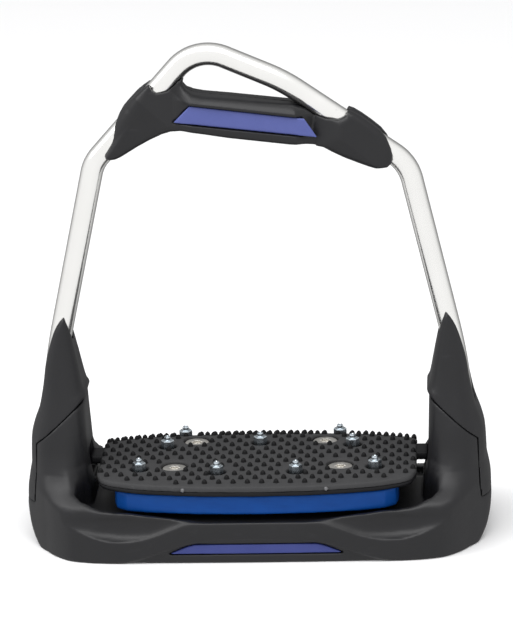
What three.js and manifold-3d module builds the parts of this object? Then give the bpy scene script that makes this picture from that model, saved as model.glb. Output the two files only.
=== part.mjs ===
// Shock absorbing stirrup iron: a bent steel arch in a moulded U frame, with an eye cover for the leather
// and a studded tread on a rubber shock pad. Millimetres, +Z up, front is -Y.
// The origin is the middle of the standing face.
import * as THREE from 'three';
import { mergeVertices, mergeGeometries } from 'three/addons/utils/BufferGeometryUtils.js';
import Module from 'manifold-3d';

const wasm = await Module();
wasm.setup();

// ---------- driving dimensions ----------
const GAP = 0.3;                 // clearance between neighbouring pieces
const HALF_WIDTH = 84.2;         // frame, across the uprights
const BASE_TOP = 17.7;           // rim of the seat that the shock pad stands in
const SEAT_DEPTH = 3.1;          // from that rim down to the seat's floor
const WING_TOP = 82.5;           // tips of the upright covers
const INNER_FACE = 60.2;         // inner face of each upright at tread height

const ROD_RADIUS = 4;
const ROD_FOOT = 14;             // lower end of the rod, inside the frame
const LEG_X = 74.6;              // rod centre in the uprights
const LEG_BEND_START = 33;
const LEG_BEND_RADIUS = 200;
const LEG_LEAN = THREE.MathUtils.degToRad(12.8);
const ROD_SIDES = 10;
const ROD_STEPS = 84;

const TREAD_TOP = 28.5;
const GRIP_THICK = 1.8;
const PLATE_THICK = 1.9;
const PLATE_BOTTOM = TREAD_TOP - GRIP_THICK - GAP - PLATE_THICK;
const TREAD_END = 57.4;
const LUG_END = 61.4;
const LUG_FRONT = -2;
const LUG_REAR = 8.5;
const LUG_TOP = 28.2;            // the lugs stand up beside the grip
const CREST_Y = 19;              // behind this line the tread slopes down
const HEEL_SLOPE = THREE.MathUtils.degToRad(17.5);

const PAD_TOP = PLATE_BOTTOM - GAP;
const PAD_ROOM = 1.6;            // clear height under the pad's flange, so that it can rock
const POCKET_FLOOR = 8;          // the pad's plug stands on a plate in this pocket
const PLUG_X = 44;
const PLUG_FRONT = -26;
const PLUG_REAR = 8;
const PLUG_CROWN = 1.2;          // rise of the plug's underside towards its front and rear
const SEAT_SLOPE_START = 10;     // behind this line the base top slopes down
const SEAT_SLOPE = THREE.MathUtils.degToRad(15);

const COVER_DEPTH = 8.5;         // eye cover, half depth
const STUD_PLACES = [
  [-14.2, -21.1], [14.2, -21.1], [-42.5, -16.9], [42.5, -16.9], [-33.9, 7.6], [33.9, 7.6],
  [0, 10.7], [-28.7, 28], [28.7, 28],
];
const TREAD_SCREW_PLACES = [[-29.9, -14.1], [29.9, -14.1], [-23.6, 14.1], [23.6, 14.1]];
const BASE_SCREW_PLACES = [[-34, -19], [34, -19], [-34, 1], [34, 1]];
const STUD_HOLE = 3.45;
const STUD_SHANK = 1.5;
const DISC_RADIUS = 4.5;
const SCREW_SHANK = 2;
const SPIKE_PITCH_X = 5.1;
const SPIKE_PITCH_Y = 4.5;
const SPIKE_BASE = 1.35;
const SPIKE_HEIGHT = 2;

// ---------- solids ----------
const group = new THREE.Group();
const paint = (colour, roughness, metalness = 0) => ({ colour, roughness, metalness });
const CHARCOAL = paint(0x323236, 0.55);
const RUBBER = paint(0x4e4e50, 0.8);
const BLUE_RUBBER = paint(0x1c4896, 0.45);
const BADGE_BLUE = paint(0x505aa5, 0.3);
const STEEL = paint(0xd8d6d2, 0.18, 1);
const ZINC = paint(0xb4bcc8, 0.3, 1);

function solid(geometry) {
  const bare = geometry.clone();
  bare.deleteAttribute('normal');
  bare.deleteAttribute('uv');
  const merged = mergeVertices(bare, 1e-4);
  return new wasm.Manifold(new wasm.Mesh({
    numProp: 3,
    vertProperties: new Float32Array(merged.attributes.position.array),
    triVerts: new Uint32Array(merged.index.array),
  }));
}

function addPiece(name, body, look) {
  const mesh = body.getMesh();
  const geometry = new THREE.BufferGeometry();
  geometry.setAttribute('position', new THREE.BufferAttribute(mesh.vertProperties, 3));
  geometry.setIndex(new THREE.BufferAttribute(mesh.triVerts, 1));
  geometry.computeVertexNormals();
  const material = new THREE.MeshStandardMaterial({
    color: look.colour,
    roughness: look.roughness,
    metalness: look.metalness,
  });
  const piece = new THREE.Mesh(geometry, material);
  piece.name = name;
  group.add(piece);
}

const vectors = (points) => points.map(([a, b]) => new THREE.Vector2(a, b));
const smooth = (points, count) => new THREE.SplineCurve(vectors(points)).getPoints(count);

function extrude(points, depth) {
  return new THREE.ExtrudeGeometry(new THREE.Shape(points), { depth, bevelEnabled: false, steps: 1 });
}

// An outline in x and z, carried along y.
function prismY(points, from, to) {
  const geometry = extrude(points, to - from);
  geometry.rotateX(Math.PI / 2);
  geometry.translate(0, to, 0);
  return solid(geometry);
}

// An outline in y and z, carried along x.
function prismX(points, from, to) {
  const geometry = extrude(points, to - from);
  const basis = new THREE.Matrix4().makeBasis(
    new THREE.Vector3(0, 1, 0), new THREE.Vector3(0, 0, 1), new THREE.Vector3(1, 0, 0));
  geometry.applyMatrix4(basis);
  geometry.translate(from, 0, 0);
  return solid(geometry);
}

// An outline in x and y, carried along z.
function prismZ(points, from, to) {
  const geometry = extrude(points, to - from);
  geometry.translate(0, 0, from);
  return solid(geometry);
}

function box(x0, x1, y0, y1, z0, z1) {
  const geometry = new THREE.BoxGeometry(x1 - x0, y1 - y0, z1 - z0);
  geometry.translate((x0 + x1) / 2, (y0 + y1) / 2, (z0 + z1) / 2);
  return solid(geometry);
}

// A turned shape about the vertical line through x and y. The profile holds radius and height pairs.
function turned(profile, x, y, sides = 16) {
  const geometry = new THREE.LatheGeometry(vectors(profile), sides);
  geometry.rotateX(Math.PI / 2);
  geometry.translate(x, y, 0);
  return solid(geometry);
}

function disc(radius, z0, z1, x, y, sides = 16) {
  return turned([[0, z0], [radius, z0], [radius, z1], [0, z1]], x, y, sides);
}

// A cylinder along y, or along x, through the two other coordinates.
function barY(radius, x, z, y0, y1, sides = 12) {
  const geometry = new THREE.CylinderGeometry(radius, radius, y1 - y0, sides);
  geometry.translate(x, (y0 + y1) / 2, z);
  return solid(geometry);
}

function barX(radius, y, z, x0, x1, sides = 12) {
  const geometry = new THREE.CylinderGeometry(radius, radius, x1 - x0, sides);
  geometry.rotateZ(Math.PI / 2);
  geometry.translate((x0 + x1) / 2, y, z);
  return solid(geometry);
}

// ---------- arch rod ----------
// Corners of the bent arch before rounding, with the bend radius at each one.
const LEG_TOP_BEND_Z = LEG_BEND_START + LEG_BEND_RADIUS * Math.sin(LEG_LEAN);
const ARCH_CORNERS = [
  { x: -55.7, z: 138.2, radius: 14 },
  { x: -17.6, z: 180.2, radius: 15 },
  { x: 12.5, z: 167, radius: 60 },
  { x: 56.2, z: 136.2, radius: 16 },
];

function roundCorner(path, corner, next) {
  const here = path.currentPoint.clone();
  const tip = new THREE.Vector2(corner.x, corner.z);
  const arriving = tip.clone().sub(here).normalize();
  const leaving = next.clone().sub(tip).normalize();
  const clockwise = arriving.cross(leaving) < 0;
  const turn = Math.acos(THREE.MathUtils.clamp(arriving.dot(leaving), -1, 1));
  const start = tip.clone().addScaledVector(arriving, -corner.radius * Math.tan(turn / 2));
  const side = clockwise ? -1 : 1;
  const normal = new THREE.Vector2(-arriving.y, arriving.x).multiplyScalar(side);
  const centre = start.clone().addScaledVector(normal, corner.radius);
  const angle = Math.atan2(start.y - centre.y, start.x - centre.x);
  path.lineTo(start.x, start.y);
  path.absarc(centre.x, centre.y, corner.radius, angle, angle + side * turn, clockwise);
}

function archOutline() {
  const path = new THREE.Path();
  const bendX = LEG_X - LEG_BEND_RADIUS;
  path.moveTo(-LEG_X, ROD_FOOT);
  path.lineTo(-LEG_X, LEG_BEND_START);
  path.absarc(-bendX, LEG_BEND_START, LEG_BEND_RADIUS, Math.PI, Math.PI - LEG_LEAN, true);
  const legTop = new THREE.Vector2(bendX + LEG_BEND_RADIUS * Math.cos(LEG_LEAN), LEG_TOP_BEND_Z);
  ARCH_CORNERS.forEach((corner, index) => {
    const next = ARCH_CORNERS[index + 1];
    roundCorner(path, corner, next ? new THREE.Vector2(next.x, next.z) : legTop);
  });
  path.lineTo(legTop.x, legTop.y);
  path.absarc(bendX, LEG_BEND_START, LEG_BEND_RADIUS, LEG_LEAN, 0, true);
  path.lineTo(LEG_X, ROD_FOOT);
  return path;
}

const arch = archOutline();

class ArchCurve extends THREE.Curve {
  getPoint(t, target = new THREE.Vector3()) {
    const point = arch.getPointAt(THREE.MathUtils.clamp(t, 0, 1));
    return target.set(point.x, 0, point.y);
  }
}

function rodSolid(radius) {
  const section = new THREE.Shape();
  section.absarc(0, 0, radius, 0, Math.PI * 2);
  const geometry = new THREE.ExtrudeGeometry(section, {
    extrudePath: new ArchCurve(),
    steps: ROD_STEPS,
    curveSegments: ROD_SIDES / 2,
    bevelEnabled: false,
  });
  return solid(geometry);
}

// The strip beside the rod on its outer side, from one fraction of its length to another.
function outsideStrip(from, to, reach) {
  const inner = [];
  const outer = [];
  const count = 16;
  for (let i = 0; i <= count; i += 1) {
    const t = from + (to - from) * i / count;
    const point = arch.getPointAt(t);
    const tangent = arch.getTangentAt(t);
    inner.push(point);
    outer.unshift(new THREE.Vector2(point.x - tangent.y * reach, point.y + tangent.x * reach));
  }
  return [...inner, ...outer];
}

// Open slots beside the rod, as fractions of its length.
const LEG_SLOT = [0.095, 0.25];
const EYE_SLOT_START = 0.27;
const SLOT_REACH = 14;

const rodClearance = rodSolid(ROD_RADIUS + GAP);
const rodFeetClearance = box(-LEG_X - 5, LEG_X + 5, -5, 5, ROD_FOOT - GAP, ROD_FOOT + 1)
  .intersect(disc(ROD_RADIUS + GAP, ROD_FOOT - GAP, ROD_FOOT + 1, -LEG_X, 0, ROD_SIDES)
    .add(disc(ROD_RADIUS + GAP, ROD_FOOT - GAP, ROD_FOOT + 1, LEG_X, 0, ROD_SIDES)));

// ---------- frame and upright covers ----------
// Half outlines from the middle to the right side, mirrored to make the whole ones.
const BOTTOM_EDGE = [[0, 0], [78.6, 0], [81.6, 1], [83.4, 3.6], [84, 8], [HALF_WIDTH, 12]];
const OUTER_EDGE = [
  [84, 24], [83.8, 33], [83.4, 39.8], [82.2, 42.6], [79, 48.7], [77, 57], [75.6, 66], [72.8, 76],
];
const TIP_EDGE = [[70.2, 81], [68.5, WING_TOP], [67.2, 79]];
const INNER_EDGE = [[64.8, 68], [62.7, 57], [61.4, 53.6], [60.8, 44], [INNER_FACE, 32]];
const FILLET_EDGE = [
  [60.1, 26], [60, 22.6], [59.6, 20.2], [58.4, 18.6], [56, 17.9], [50, BASE_TOP], [0, BASE_TOP],
];
const FRONT_HALF = [
  [0, 39.2], [20, 39.1], [42, 38.5], [56, 37.5], [62, 36.3], [67.5, 33.9], [73, 29.3], [77, 24.2], [80.4, 17.6],
  [82.8, 10.6],
];
const SIDE_HALF = [
  [39.2, 0], [39, 8], [38.5, 14], [37.7, 17.8], [32.5, 20.6], [26.6, 24.4], [23, 28.6], [20, 34], [17.8, 41],
  [13.9, 52.5], [10.4, 64], [7.6, 76], [6.2, 83],
];
const SEAM = [
  [58, 56], [60.6, 54.2], [79.3, 37.6], [79.9, 22], [80.5, 16.6], [92, 15.6], [92, 90], [58, 90],
];

const mirrored = (points) => points.slice().reverse().map(([a, b]) => [-a, b]).filter(([a]) => a !== 0);

function planOutline(inset) {
  const front = FRONT_HALF.map(([x, y]) => [x * (1 - inset / HALF_WIDTH), -(y - inset)]);
  const rear = FRONT_HALF.map(([x, y]) => [x * (1 - inset / HALF_WIDTH), y - inset]).reverse();
  const right = [...front, [HALF_WIDTH - inset, 0], ...rear];
  const left = right.filter(([x]) => x !== 0).reverse().map(([x, y]) => [-x, y]);
  return vectors([...right, ...left]);
}

function frameBlank() {
  const rightHalf = [...BOTTOM_EDGE, ...OUTER_EDGE, ...TIP_EDGE, ...INNER_EDGE, ...FILLET_EDGE];
  const front = prismY(vectors([...rightHalf, ...mirrored(rightHalf)]), -50, 50);
  const sideRight = smooth(SIDE_HALF, 16).map((p) => [p.x, p.y]);
  const side = prismX(vectors([...sideRight, ...mirrored(sideRight)]), -100, 100);
  const plan = prismZ(planOutline(0), -1, 100);
  return front.intersect(side).intersect(plan);
}

// The front and rear faces are hollowed above the scoop line and set back below the panel line.
const SCOOP_HALF = [
  [0, 14.6], [20, 14.5], [26, 13.8], [31, 12], [37, 9.8], [43, 8.5], [50, 8], [58, 9.5], [64, 11.8],
];
const SCOOP_END = 66;
const SCOOP_TOP = 24;
const SCOOP_DEPTH = 2;
const PANEL_HALF = [[0, 9.3], [14, 8.9], [22, 8], [27.5, 6.6], [34.7, 4.1], [42, 1.8], [50, -0.4]];
const PANEL_DEPTH = 0.8;
const BADGE_HALF = [[0, 6.9], [21.8, 6.9], [24.5, 6.2], [31, 3.4], [0, 3.4]];
const BADGE_SET = 1.2;
const BADGE_THICK = 1.2;

function faceCut(outline, depth, side) {
  const near = side < 0 ? -60 : 15;
  const block = prismY(outline, near, near + 45);
  return block.subtract(prismZ(planOutline(depth), -5, 30));
}

function scoopOutline() {
  const line = smooth(SCOOP_HALF, 16).map((p) => [p.x, p.y]);
  const right = [...line, [SCOOP_END, 14], [SCOOP_END, SCOOP_TOP], [0, SCOOP_TOP]];
  return vectors([...right, ...mirrored(right)]);
}

function panelOutline() {
  const line = smooth(PANEL_HALF, 12).map((p) => [p.x, p.y]);
  return vectors([...line, ...mirrored(line)]);
}

const symmetric = (half) => vectors([...half, ...mirrored(half)]);
const grown = (half, by) => half.map(([x, z], i) => [x + (x > 0 ? by * 3 : 0), z + (i < 3 ? by : -by)]);

function baseBadge(side) {
  const near = side < 0 ? -60 : 15;
  return prismY(symmetric(BADGE_HALF), near, near + 45)
    .intersect(prismZ(planOutline(BADGE_SET), -5, 30))
    .subtract(prismZ(planOutline(BADGE_SET + BADGE_THICK), -5, 30));
}

function roundedRect(x, y0, y1, radius) {
  const shape = new THREE.Shape();
  shape.moveTo(x, y0 + radius);
  shape.absarc(x - radius, y1 - radius, radius, 0, Math.PI / 2);
  shape.absarc(-x + radius, y1 - radius, radius, Math.PI / 2, Math.PI);
  shape.absarc(-x + radius, y0 + radius, radius, Math.PI, Math.PI * 1.5);
  shape.absarc(x - radius, y0 + radius, radius, Math.PI * 1.5, Math.PI * 2);
  return shape.getPoints(4);
}

// Half outline of the shock pad seen from above, from the middle of its front to the middle of its rear.
const PAD_HALF = [
  [0, -35.8], [20, -35], [38, -32.8], [46, -30.8], [50, -27.6], [51, -23], [51, 24], [48, 28.6], [0, 30],
];
// Half outline of the hollow that the pad stands in: it reaches from upright to upright.
const SEAT_HALF = [
  [0, -36.4], [20, -35.6], [38, -33.8], [50, -32], [57, -29.6], [59, -26], [59, 22], [55, 27], [48, 29.2],
  [0, 30.6],
];

function seatHeight(y) {
  return y > SEAT_SLOPE_START ? BASE_TOP - (y - SEAT_SLOPE_START) * Math.tan(SEAT_SLOPE) : BASE_TOP;
}

const blank = frameBlank();
const GROOVE_ROOM = 1.4;
const GROOVE_START = 55;
const GROOVE_END = LUG_END + GROOVE_ROOM;
const GROOVE_BOTTOM = 21;
const GROOVE_TOP = 31.5;
const ROD_PIN_RADIUS = 1.5;
const ROD_PIN_HALF = 8;
const COVER_SCREW_RADIUS = 1.25;
const COVER_HEAD_RADIUS = 2.4;
const COVER_BORE_START = 57;
const COVER_HEAD_START = 60.8;
const COVER_HEAD_END = 62.6;
const COVER_SCREW_END = 81.4;
const COVER_SCREW_Y = 13;
const COVER_SCREW_Z = 20.5;
const ROD_PIN_Z = 26;
const BASE_HEAD_RADIUS = 3.6;
const BASE_HEAD_TOP = 3;

function seamPrism(side, grow) {
  const points = SEAM.map(([x, z], i) => [side * (x - (i < 6 ? grow : 0)), z - (i < 6 ? grow : 0)]);
  return prismY(vectors(points), -60, 60);
}

function coverScrewBore(side, y, extra) {
  const inner = side * COVER_BORE_START;
  const head = side * COVER_HEAD_END;
  const tip = side * (COVER_SCREW_END + extra);
  const sorted = (a, b) => [Math.min(a, b), Math.max(a, b)];
  const headStart = extra ? inner : side * COVER_HEAD_START;
  return barX(COVER_SCREW_RADIUS + extra, y, COVER_SCREW_Z, ...sorted(head, tip))
    .add(barX(COVER_HEAD_RADIUS + extra, y, COVER_SCREW_Z, ...sorted(headStart, head + side * extra)));
}

function baseFrame() {
  let body = blank.subtract(seamPrism(1, 0)).subtract(seamPrism(-1, 0));
  const slopeEnd = 45;
  const slopeDrop = (slopeEnd - SEAT_SLOPE_START) * Math.tan(SEAT_SLOPE);
  const behind = [[SEAT_SLOPE_START, BASE_TOP], [slopeEnd, BASE_TOP - slopeDrop], [slopeEnd, 40]];
  const raised = [...behind, [SEAT_SLOPE_START, 40]];
  body = body.subtract(prismX(vectors(raised), -INNER_FACE + 0.2, INNER_FACE - 0.2));
  body = body.subtract(seatSpace());
  body = body.subtract(prismZ(roundedRect(PLUG_X + 1, PLUG_FRONT - 1, PLUG_REAR + 1, 6), POCKET_FLOOR, 30));
  for (const side of [-1, 1]) {
    body = body.subtract(faceCut(scoopOutline(), SCOOP_DEPTH, side));
    body = body.subtract(faceCut(panelOutline(), PANEL_DEPTH, side));
    body = body.subtract(faceCut(symmetric(grown(BADGE_HALF, GAP)), BADGE_SET + BADGE_THICK + GAP, side));
    const groove = [side * GROOVE_START, side * GROOVE_END].sort((a, b) => a - b);
    const lugRoom = [LUG_FRONT - GROOVE_ROOM, LUG_REAR + GROOVE_ROOM];
    body = body.subtract(box(...groove, ...lugRoom, GROOVE_BOTTOM, GROOVE_TOP));
    const pinReach = ROD_PIN_HALF + GAP;
    body = body.subtract(barY(ROD_PIN_RADIUS + GAP, side * LEG_X, ROD_PIN_Z, -pinReach, pinReach));
    body = body.subtract(coverScrewBore(side, -COVER_SCREW_Y, GAP));
    body = body.subtract(coverScrewBore(side, COVER_SCREW_Y, GAP));
  }
  for (const [x, y] of BASE_SCREW_PLACES) {
    body = body.subtract(disc(SCREW_SHANK + GAP, -1, POCKET_FLOOR + 1, x, y, 12));
    body = body.subtract(disc(BASE_HEAD_RADIUS + GAP, -1, BASE_HEAD_TOP + GAP, x, y, 14));
  }
  return body.subtract(rodClearance).subtract(rodFeetClearance);
}

// The hollow that the pad's flange stands in, with a floor that follows the base's rear slope.
function seatSpace() {
  const rear = 40;
  const floor = BASE_TOP - SEAT_DEPTH;
  const profile = [
    [-40, floor], [SEAT_SLOPE_START, floor], [rear, seatHeight(rear) - SEAT_DEPTH], [rear, 40], [-40, 40],
  ];
  return prismX(vectors(profile), -60, 60).intersect(prismZ(symmetric(SEAT_HALF), 0, 45));
}

function uprightCover(side) {
  let body = blank.intersect(seamPrism(side, -GAP));
  const [from, to] = LEG_SLOT;
  const slot = side < 0 ? outsideStrip(from, to, SLOT_REACH) : outsideStrip(1 - to, 1 - from, SLOT_REACH);
  body = body.subtract(prismY(slot, -ROD_RADIUS - GAP, ROD_RADIUS + GAP));
  body = body.subtract(coverScrewBore(side, -COVER_SCREW_Y, GAP));
  body = body.subtract(coverScrewBore(side, COVER_SCREW_Y, GAP));
  return body.subtract(rodClearance);
}

function archRod() {
  let body = rodSolid(ROD_RADIUS);
  for (const side of [-1, 1]) {
    body = body.subtract(barY(ROD_PIN_RADIUS + GAP, side * LEG_X, ROD_PIN_Z, -6, 6));
  }
  return body;
}

addPiece('base_frame', baseFrame(), CHARCOAL);
addPiece('arch_rod', archRod(), STEEL);
for (const [word, side] of [['left', -1], ['right', 1]]) {
  addPiece(`${word}_upright_cover`, uprightCover(side), CHARCOAL);
  const rodPin = barY(ROD_PIN_RADIUS, side * LEG_X, ROD_PIN_Z, -ROD_PIN_HALF, ROD_PIN_HALF);
  addPiece(`${word}_rod_pin`, rodPin, STEEL);
  addPiece(`${word}_cover_screw_front`, coverScrewBore(side, -COVER_SCREW_Y, 0), ZINC);
  addPiece(`${word}_cover_screw_rear`, coverScrewBore(side, COVER_SCREW_Y, 0), ZINC);
}
addPiece('front_base_badge', baseBadge(-1), BADGE_BLUE);
addPiece('rear_base_badge', baseBadge(1), BADGE_BLUE);

// ---------- eye cover ----------
const EYE_OUTLINE = [
  [-33.2, 169.4], [-38.6, 166.6], [-42.3, 163.1], [-47.6, 152.5], [-51.6, 144.6], [-51.4, 141], [-46.6, 141.6],
  [-38, 146.4], [-31, 150.6], [-26.1, 151.9], [25.8, 144.8], [31, 142.4], [38.4, 138.6], [47.8, 136.4],
  [52, 137.6], [50.6, 142.6], [46.8, 148], [43.6, 151.7], [40, 154.4], [35.9, 155.9], [30.6, 156],
  [22, 157.3], [-16, 161.4], [-22.6, 162.6], [-27.6, 166.8],
];
const EYE_BADGE = [[-20.2, 160], [20.1, 154.7], [24.5, 147.9], [-26.1, 154.1]];
const EYE_BADGE_SET = 0.9;
const EYE_BADGE_THICK = 1.1;
const EYE_CHAMFER = 2;
const EYE_SCREWS = [['left', -15, 155.7], ['right', 15, 151.4]];
const EYE_SCREW_RADIUS = 1.25;
const EYE_HEAD_RADIUS = 2.3;

function eyeBlank() {
  const shape = new THREE.Shape(vectors(EYE_OUTLINE));
  const geometry = new THREE.ExtrudeGeometry(shape, {
    depth: 2 * (COVER_DEPTH - EYE_CHAMFER),
    bevelEnabled: true,
    bevelThickness: EYE_CHAMFER,
    bevelSize: 1.1,
    bevelOffset: -1.1,
    bevelSegments: 1,
    steps: 1,
  });
  geometry.rotateX(Math.PI / 2);
  geometry.translate(0, COVER_DEPTH - EYE_CHAMFER, 0);
  return solid(geometry);
}

function scaledOutline(points, grow) {
  const cx = points.reduce((sum, [x]) => sum + x, 0) / points.length;
  const cz = points.reduce((sum, [, z]) => sum + z, 0) / points.length;
  return vectors(points.map(([x, z]) => [x + Math.sign(x - cx) * grow * 1.4, z + Math.sign(z - cz) * grow]));
}

function eyeHalf(side) {
  const near = side < 0 ? -20 : GAP / 2;
  let body = eyeBlank().intersect(box(-70, 70, near, near + 20 - GAP / 2, 120, 190));
  body = body.subtract(rodClearance);
  for (const [from, to] of [[EYE_SLOT_START, 0.5], [0.5, 1 - EYE_SLOT_START]]) {
    body = body.subtract(prismY(outsideStrip(from, to, SLOT_REACH), -ROD_RADIUS - GAP, ROD_RADIUS + GAP));
  }
  const face = side * COVER_DEPTH;
  const bottom = side * (COVER_DEPTH - EYE_BADGE_SET - EYE_BADGE_THICK - GAP);
  body = body.subtract(prismY(scaledOutline(EYE_BADGE, GAP), Math.min(face * 1.2, bottom),
    Math.max(face * 1.2, bottom)));
  for (const [, x, z] of EYE_SCREWS) {
    body = body.subtract(barY(EYE_SCREW_RADIUS + GAP, x, z, -4.9, 8));
    body = body.subtract(barY(EYE_HEAD_RADIUS + GAP, x, z, 3.6, 8));
  }
  return body;
}

function eyeBadge(side) {
  const outer = side * (COVER_DEPTH - EYE_BADGE_SET);
  const inner = outer - side * EYE_BADGE_THICK;
  return prismY(vectors(EYE_BADGE), Math.min(outer, inner), Math.max(outer, inner));
}

addPiece('eye_cover_front', eyeHalf(-1), CHARCOAL);
addPiece('eye_cover_rear', eyeHalf(1), CHARCOAL);
addPiece('front_eye_badge', eyeBadge(-1), BADGE_BLUE);
addPiece('rear_eye_badge', eyeBadge(1), BADGE_BLUE);
for (const [word, x, z] of EYE_SCREWS) {
  const shank = barY(EYE_SCREW_RADIUS, x, z, -4.6, 4.2);
  addPiece(`${word}_eye_screw`, shank.add(barY(EYE_HEAD_RADIUS, x, z, 4, 5.8)), ZINC);
}

// ---------- shock pad and its plates ----------
const PLUG_MIDDLE = (PLUG_FRONT + PLUG_REAR) / 2;
const LOWER_PLATE_TOP = POCKET_FLOOR + GAP + 1.7;
const UPPER_PLATE_BOTTOM = PAD_TOP - 1.5;

function heelDrop(y) {
  return y > CREST_Y ? (y - CREST_Y) * Math.tan(HEEL_SLOPE) : 0;
}

function shockPad() {
  const top = [[40, PAD_TOP - heelDrop(40)], [CREST_Y, PAD_TOP], [-40, PAD_TOP]];
  const lift = PAD_ROOM - SEAT_DEPTH;
  const under = [[-40, BASE_TOP + lift], [SEAT_SLOPE_START, BASE_TOP + lift], [40, seatHeight(40) + lift]];
  const flange = prismX(vectors([...top, ...under]), -60, 60)
    .intersect(prismZ(symmetric(PAD_HALF), 0, 40));
  const foot = LOWER_PLATE_TOP + GAP;
  const crowned = [
    [PLUG_FRONT, foot + PLUG_CROWN], [PLUG_MIDDLE - 4, foot], [PLUG_MIDDLE + 4, foot],
    [PLUG_REAR, foot + PLUG_CROWN], [PLUG_REAR, BASE_TOP + 2], [PLUG_FRONT, BASE_TOP + 2],
  ];
  const plug = prismX(vectors(crowned), -60, 60)
    .intersect(prismZ(roundedRect(PLUG_X, PLUG_FRONT, PLUG_REAR, 5), 0, 40));
  const plateSeat = prismZ(roundedRect(38 + GAP, -22 - GAP, 17 + GAP, 4), UPPER_PLATE_BOTTOM - GAP, 40);
  let body = flange.add(plug).subtract(plateSeat);
  for (const [x, y] of TREAD_SCREW_PLACES) {
    body = body.subtract(disc(SCREW_SHANK + GAP, 20, 40, x, y, 12));
  }
  return body;
}

function lowerPlate() {
  const outline = roundedRect(PLUG_X - 1, PLUG_FRONT + 1, PLUG_REAR - 1, 4);
  let body = prismZ(outline, POCKET_FLOOR + GAP, LOWER_PLATE_TOP);
  for (const [x, y] of BASE_SCREW_PLACES) {
    body = body.subtract(disc(2 + GAP, 5, LOWER_PLATE_TOP + 1, x, y, 12));
  }
  return body;
}

function upperPlate() {
  let body = prismZ(roundedRect(38, -22, 17, 3.6), UPPER_PLATE_BOTTOM, PAD_TOP);
  for (const [x, y] of TREAD_SCREW_PLACES) {
    body = body.subtract(disc(SCREW_SHANK + GAP, 20, 40, x, y, 12));
  }
  return body;
}

function baseScrew(x, y) {
  const tip = LOWER_PLATE_TOP - 0.1;
  const profile = [[0, 1.9], [1.3, 1.9], [1.3, 0.8], [3.6, 0.8], [3.6, 3], [2, 3], [2, tip], [0, tip]];
  return turned(profile, x, y, 12);
}

addPiece('shock_pad', shockPad(), BLUE_RUBBER);
addPiece('pad_lower_plate', lowerPlate(), ZINC);
addPiece('pad_upper_plate', upperPlate(), ZINC);
BASE_SCREW_PLACES.forEach(([x, y], i) => addPiece(`base_screw_${i + 1}`, baseScrew(x, y), ZINC));

// ---------- tread ----------
const TREAD_HALF = [
  [0, -38.2], [20, -37.4], [39, -34.6], [49, -31.4], [55, -27.6], [TREAD_END, -21], [TREAD_END, 21], [55, 27.4],
  [49, 31], [39, 34.2], [20, 36.8], [0, 37.4],
];

function treadLayer(bottom, top, outline) {
  const profile = [
    [-50, bottom], [CREST_Y, bottom], [50, bottom - heelDrop(50)],
    [50, top - heelDrop(50)], [CREST_Y, top], [-50, top],
  ];
  return prismX(vectors(profile), -70, 70).intersect(prismZ(outline, 0, 40));
}

function holesFor(body, radius, places) {
  let result = body;
  for (const [x, y] of places) {
    result = result.subtract(disc(radius, 10, 40, x, y, 14));
  }
  return result;
}

function treadPlate() {
  let body = treadLayer(PLATE_BOTTOM, PLATE_BOTTOM + PLATE_THICK, symmetric(TREAD_HALF));
  body = body.add(box(-LUG_END, LUG_END, LUG_FRONT, LUG_REAR, PLATE_BOTTOM, PLATE_BOTTOM + PLATE_THICK));
  const stub = TREAD_END + GAP;
  body = body.add(box(-LUG_END, -stub, LUG_FRONT, LUG_REAR, PLATE_BOTTOM, LUG_TOP));
  body = body.add(box(stub, LUG_END, LUG_FRONT, LUG_REAR, PLATE_BOTTOM, LUG_TOP));
  body = holesFor(body, SCREW_SHANK + GAP, TREAD_SCREW_PLACES);
  return holesFor(body, STUD_SHANK + GAP, STUD_PLACES);
}

// Pyramids in a triangular lattice, left out around the holes and near the edge.
function spikes() {
  const near = (x, y, places, reach) => places.some(([px, py]) => Math.hypot(x - px, y - py) < reach);
  const inside = (x, y) => {
    const room = 2.1;
    const curve = 0.0029 * x * x;
    return Math.abs(x) < TREAD_END - room && y > -37.4 + room + curve && y < 36.8 - room - curve;
  };
  const parts = [];
  for (let row = -8; row <= 8; row += 1) {
    const y = row * SPIKE_PITCH_Y - 0.2;
    for (let column = -12; column <= 12; column += 1) {
      const x = (column + (row % 2 ? 0.5 : 0)) * SPIKE_PITCH_X;
      if (inside(x, y) && !near(x, y, STUD_PLACES, 5) && !near(x, y, TREAD_SCREW_PLACES, 6.3)) {
        const cone = new THREE.ConeGeometry(SPIKE_BASE, SPIKE_HEIGHT + 0.4, 4, 1);
        cone.rotateX(Math.PI / 2);
        cone.translate(x, y, TREAD_TOP - heelDrop(y) + SPIKE_HEIGHT / 2 - 0.2);
        parts.push(cone);
      }
    }
  }
  return solid(mergeGeometries(parts));
}

function gripPad() {
  const bottom = TREAD_TOP - GRIP_THICK;
  let body = treadLayer(bottom, TREAD_TOP, symmetric(TREAD_HALF));
  body = holesFor(body, STUD_HOLE, STUD_PLACES);
  body = holesFor(body, DISC_RADIUS + 0.5, TREAD_SCREW_PLACES);
  return body.add(spikes());
}

const STUD_HEX = 2.4;
const STUD_TIP = 0.95;
const STUD_TALL = 3.9;

function stud(x, y) {
  const drop = heelDrop(y);
  const top = TREAD_TOP - drop;
  const seat = PLATE_BOTTOM + PLATE_THICK + GAP - drop + (drop > 0 ? 1 : 0);
  const shank = disc(STUD_SHANK, PLATE_BOTTOM - drop + GAP, seat + 0.2, x, y, 10);
  const hex = disc(STUD_HEX, seat, top + 2.2, x, y, 6);
  const crown = [
    [0, top + 2], [STUD_TIP, top + 2], [STUD_TIP, top + 3.3], [0.5, top + STUD_TALL], [0, top + STUD_TALL],
  ];
  const tip = turned(crown, x, y, 10);
  return shank.add(hex).add(tip);
}

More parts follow.
